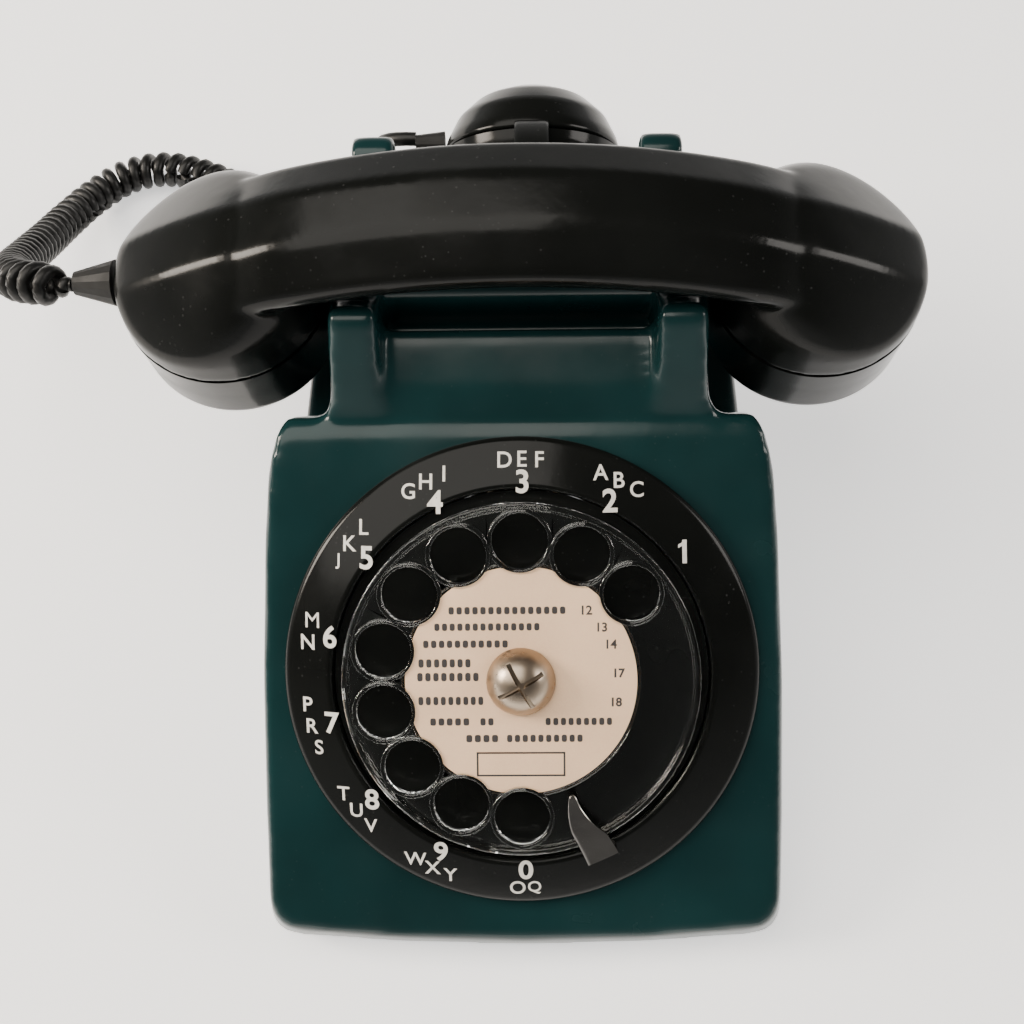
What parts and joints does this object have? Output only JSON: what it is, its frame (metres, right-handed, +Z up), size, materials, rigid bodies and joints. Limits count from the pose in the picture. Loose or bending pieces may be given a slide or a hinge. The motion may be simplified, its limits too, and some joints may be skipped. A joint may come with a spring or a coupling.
{
  "type": "rotary telephone",
  "caption": "Rotary desk telephone with a moulded hood, sloping dial with clear finger wheel, handset on a two-rail cradle and a second earpiece at the rear.",
  "frame": {"origin": "on the surface it stands on, under the middle of the telephone's box without its cords", "axes": "+Z up, front of the telephone towards -Y, handset along X"},
  "size_m": [0.2888, 0.3004, 0.143],
  "materials": {
    "hood": "glossy moulded ABS",
    "black_gloss": "glossy black ABS",
    "clear": "clear acrylic",
    "card": "cream printed card",
    "bright": "polished",
    "soft_black": "matt black rubber",
    "cord": "satin black PVC",
    "steel": "zinc plated",
    "brass": "turned brass",
    "coil": "wound copper wire under tape",
    "board": "brown bakelite"
  },
  "bodies": {
    "root": {"body_shell": "hood", "base_plate": "steel", "foot_front_left": "soft_black", "foot_front_right": "soft_black", "foot_rear_left": "soft_black", "foot_rear_right": "soft_black", "base_screw_left": "steel", "base_screw_right": "steel", "number_ring": "black_gloss", "dial_housing": "black_gloss", "dial_backplate": "steel", "mainspring_drum": "brass", "finger_stop": "bright", "governor_cup": "steel", "pulse_contacts": "board", "hook_switch": "board", "gong_left": "brass", "gong_right": "brass", "gong_post_left": "steel", "gong_post_right": "steel", "ringer_coil_left": "coil", "ringer_coil_right": "coil", "ringer_frame": "steel", "transformer": "steel", "capacitor": "steel", "terminal_board": "board", "handset_cord_gland": "soft_black", "line_cord_inlet": "soft_black", "earpiece_cord_gland": "soft_black", "handset_cord": "cord", "second_cord_coil": "cord", "second_cord_drop": "cord", "second_cord_return": "cord"},
    "finger_wheel": {"finger_wheel": "clear", "label_card": "card", "centre_cap": "bright", "dial_spindle": "steel", "drive_gear": "brass"},
    "governor": {"governor_rotor": "brass"},
    "hook": {"hook_yoke": "steel", "hook_plunger_left": "soft_black", "hook_plunger_right": "soft_black"},
    "clapper": {"clapper": "steel"},
    "handset": {"handset_handle": "black_gloss", "mouthpiece_cap": "black_gloss", "microphone_capsule": "steel", "earpiece_cap": "black_gloss", "receiver_capsule": "steel", "handset_strain_relief": "soft_black"},
    "second_earpiece": {"second_earpiece_shell": "black_gloss", "second_earpiece_cap": "black_gloss", "second_earpiece_capsule": "steel", "second_strain_relief": "soft_black"}
  },
  "joints": [
    {"name": "dial_turn", "type": "hinge", "parent": "root", "child": "finger_wheel", "pos_m": [0, -0.0526, 0.055], "axis": [0, 0.5, -0.866], "range_deg": [0, 320], "stiffness_Nm_per_rad": 0.002, "springref_deg": -34.38},
    {"name": "governor_spin", "type": "hinge", "parent": "root", "child": "governor", "pos_m": [0.01909, -0.03607, 0.06455], "axis": [0, -0.5, 0.866], "range_deg": [0, 1410]},
    {"name": "handset_lift", "type": "slide", "parent": "root", "child": "handset", "axis": [0, 0, 1], "range_m": [0, 0.06]},
    {"name": "hook_rise", "type": "slide", "parent": "root", "child": "hook", "axis": [0, 0, 1], "range_m": [0, 0.0043]},
    {"name": "clapper_swing", "type": "hinge", "parent": "root", "child": "clapper", "pos_m": [0, 0.0344, 0.036], "axis": [0, 0, 1], "range_deg": [-5, 5], "stiffness_Nm_per_rad": 0.002},
    {"name": "second_earpiece_lift", "type": "slide", "parent": "root", "child": "second_earpiece", "axis": [0, 0, 1], "range_m": [0, 0.05]}
  ],
  "couplings": [
    {"joint": "governor_spin", "follows": "dial_turn", "ratio": 4.4},
    {"joint": "hook_rise", "follows": "handset_lift", "ratio": 0.07}
  ]
}
